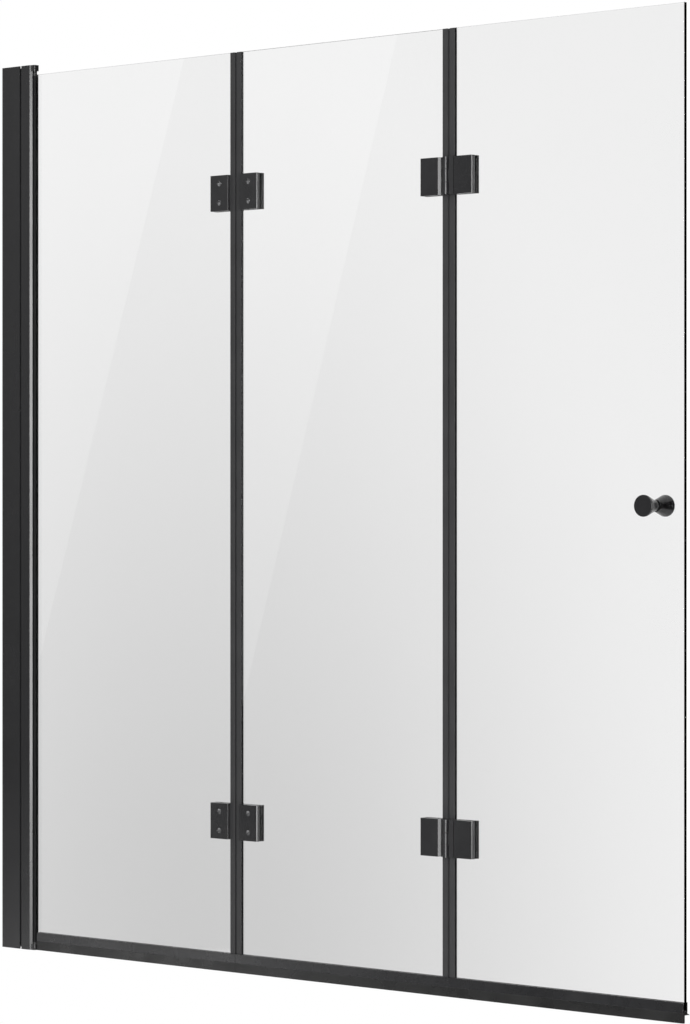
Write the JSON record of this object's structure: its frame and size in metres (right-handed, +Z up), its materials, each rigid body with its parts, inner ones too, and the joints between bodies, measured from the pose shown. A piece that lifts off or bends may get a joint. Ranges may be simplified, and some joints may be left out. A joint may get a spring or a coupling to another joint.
{
  "type": "folding bath screen",
  "caption": "Glass bath screen that folds flat at its upright joints and swings on a wall post, with black fittings, drip strips and a turned knob.",
  "frame": {"origin": "foot of the wall channel, on its face against the wall, in the middle plane of the glass", "axes": "+X from the wall along the unfolded screen to its free edge, -Y to the side with the bath that the screen swings to, +Z up"},
  "size_m": [1.3, 0.058, 1.4],
  "materials": {
    "black_metal": "satin powder coat",
    "black_rubber": "matt",
    "black_plastic": "matt",
    "black_steel": "blackened steel",
    "steel": "stainless steel",
    "clear_glass": "polished toughened glass"
  },
  "bodies": {
    "wall_frame": {"wall_channel": "black_metal", "wall_post": "black_metal", "top_bracket": "black_metal", "bottom_bracket": "black_metal", "bracket_screws": "steel", "post_lock_screws": "steel", "post_seal": "black_rubber", "pivot_pins": "steel", "thrust_washer": "black_plastic"},
    "panel_1": {"panel_1_profile": "black_metal", "panel_1_glazing_gasket": "black_rubber", "panel_1_plugs": "black_plastic", "glass_1": "clear_glass", "rail_1": "black_metal", "drip_seal_1": "black_rubber", "joint_seal_1": "black_rubber", "hinge_1_upper_leaf_in": "black_metal", "hinge_1_lower_leaf_in": "black_metal", "hinge_1_upper_pin": "steel", "hinge_1_lower_pin": "steel", "hinge_1_washers": "black_plastic", "hinge_1_upper_plate_in": "black_metal", "hinge_1_lower_plate_in": "black_metal", "panel_1_hinge_pads": "black_rubber", "panel_1_hinge_screws": "black_steel"},
    "panel_2": {"glass_2": "clear_glass", "rail_2": "black_metal", "drip_seal_2": "black_rubber", "joint_seal_2_in": "black_rubber", "joint_seal_2_out": "black_rubber", "hinge_1_upper_leaf_out": "black_metal", "hinge_1_lower_leaf_out": "black_metal", "hinge_1_upper_plate_out": "black_metal", "hinge_1_lower_plate_out": "black_metal", "hinge_2_upper_leaf_in": "black_metal", "hinge_2_lower_leaf_in": "black_metal", "hinge_2_upper_pin": "steel", "hinge_2_lower_pin": "steel", "hinge_2_washers": "black_plastic", "hinge_2_upper_plate_in": "black_metal", "hinge_2_lower_plate_in": "black_metal", "panel_2_hinge_pads": "black_rubber", "panel_2_hinge_screws": "black_steel"},
    "panel_3": {"glass_3": "clear_glass", "rail_3": "black_metal", "drip_seal_3": "black_rubber", "joint_seal_3": "black_rubber", "hinge_2_upper_leaf_out": "black_metal", "hinge_2_lower_leaf_out": "black_metal", "hinge_2_upper_plate_out": "black_metal", "hinge_2_lower_plate_out": "black_metal", "panel_3_hinge_pads": "black_rubber", "panel_3_hinge_screws": "black_steel", "knob_front": "black_metal", "knob_back": "black_metal", "knob_stud": "steel", "knob_washers": "black_rubber"}
  },
  "joints": [
    {"name": "wall_swing", "type": "hinge", "parent": "wall_frame", "child": "panel_1", "pos_m": [0.0672, -0.006, 0], "axis": [0, 0, -1], "range_deg": [0, 90]},
    {"name": "fold_1", "type": "hinge", "parent": "panel_1", "child": "panel_2", "pos_m": [0.49, 0.011, 0], "axis": [0, 0, 1], "range_deg": [0, 178]},
    {"name": "fold_2", "type": "hinge", "parent": "panel_2", "child": "panel_3", "pos_m": [0.896, -0.011, 0], "axis": [0, 0, -1], "range_deg": [0, 177]}
  ]
}
